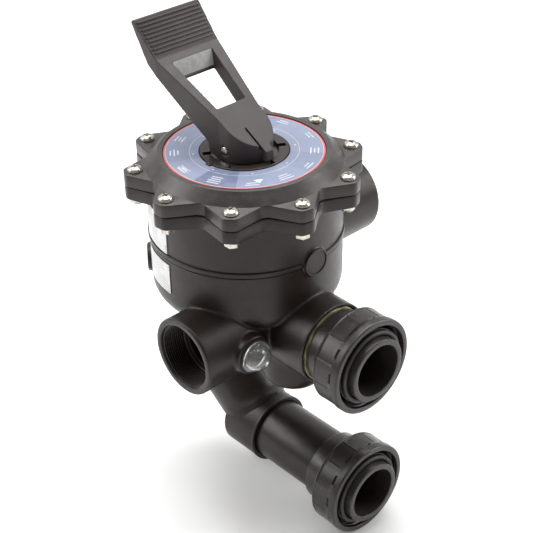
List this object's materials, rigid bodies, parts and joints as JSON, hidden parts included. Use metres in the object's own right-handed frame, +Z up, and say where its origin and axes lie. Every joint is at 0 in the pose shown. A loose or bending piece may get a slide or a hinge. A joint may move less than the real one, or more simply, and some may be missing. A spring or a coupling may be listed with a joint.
{
  "type": "multiport valve",
  "caption": "Side-mount multiport valve for a pool filter: lever handle on an indexed dial, bolted lid, threaded ports, sight glass and two union couplings.",
  "frame": {"origin": "centre of the upper union's sealing face, where the valve meets the filter", "axes": "+X points out of the two unions at the filter, +Z is up along the spindle, +Y points out of the side port"},
  "size_m": [0.2717, 0.2448, 0.4389],
  "materials": {
    "body_plastic": "moulded, satin",
    "lid_plastic": "moulded, satin, lightly dusty",
    "handle_plastic": "moulded, matte",
    "union_plastic": "moulded, smooth",
    "dial_label": "printed film",
    "sticker": "printed paper",
    "stainless": "rolled, satin",
    "clear_plastic": "clear, glossy",
    "rubber_seal": "smooth",
    "sealing_ring": "smooth, waxy",
    "washer_plastic": "smooth",
    "rotor_plastic": "moulded"
  },
  "bodies": {
    "housing": {"valve_body": "body_plastic", "lid": "lid_plastic", "dial_plate": "dial_label", "index_ring": "body_plastic", "lid_oring": "rubber_seal", "sight_glass": "clear_plastic", "sight_glass_gasket": "rubber_seal", "sticker_upper": "sticker", "sticker_lower": "sticker", "upper_tailpiece": "union_plastic", "upper_neck_seal": "sealing_ring", "upper_face_oring": "rubber_seal", "lower_tailpiece": "union_plastic", "lower_pipe": "body_plastic", "lower_face_oring": "rubber_seal", "spider_gasket": "rubber_seal", "lid_screw_01": "stainless", "lid_screw_02": "stainless", "lid_screw_03": "stainless", "lid_screw_04": "stainless", "lid_screw_05": "stainless", "lid_screw_06": "stainless", "lid_screw_07": "stainless", "lid_screw_08": "stainless", "lid_screw_09": "stainless", "lid_screw_10": "stainless", "lid_nut_01": "stainless", "lid_nut_02": "stainless", "lid_nut_03": "stainless", "lid_nut_04": "stainless", "lid_nut_05": "stainless", "lid_nut_06": "stainless", "lid_nut_07": "stainless", "lid_nut_08": "stainless", "lid_nut_09": "stainless", "lid_nut_10": "stainless"},
    "turning": {"handle_washer": "washer_plastic"},
    "rotor": {"rotor": "rotor_plastic", "handle_pin": "stainless", "stem_oring_1": "rubber_seal", "stem_oring_2": "rubber_seal", "spring_washer": "stainless", "rotor_spring": "stainless"},
    "handle": {"handle": "handle_plastic"},
    "upper_nut": {"upper_union_nut": "union_plastic"},
    "lower_nut": {"lower_union_nut": "union_plastic"}
  },
  "joints": [
    {"name": "rotor_turn", "type": "hinge", "parent": "housing", "child": "turning", "pos_m": [-0.1668, 0, 0.1428], "axis": [0, 0, 1], "continuous": true},
    {"name": "rotor_lift", "type": "slide", "parent": "turning", "child": "rotor", "axis": [0, 0, 1], "range_m": [0, 0.006], "stiffness_N_per_m": 2000, "springref_m": -0.004, "deforming": ["rotor_spring"]},
    {"name": "handle_press", "type": "hinge", "parent": "rotor", "child": "handle", "pos_m": [-0.1668, 0, 0.1578], "axis": [0, -1, 0], "range_deg": [0, 36]},
    {"name": "upper_nut_turn", "type": "hinge", "parent": "housing", "child": "upper_nut", "pos_m": [-0.0238, 0, 0], "axis": [1, 0, 0], "continuous": true},
    {"name": "lower_nut_turn", "type": "hinge", "parent": "housing", "child": "lower_nut", "pos_m": [-0.0238, 0, -0.1409], "axis": [1, 0, 0], "continuous": true}
  ],
  "couplings": [
    {"joint": "handle_press", "follows": "rotor_lift", "rad_per_m": 104.7}
  ]
}
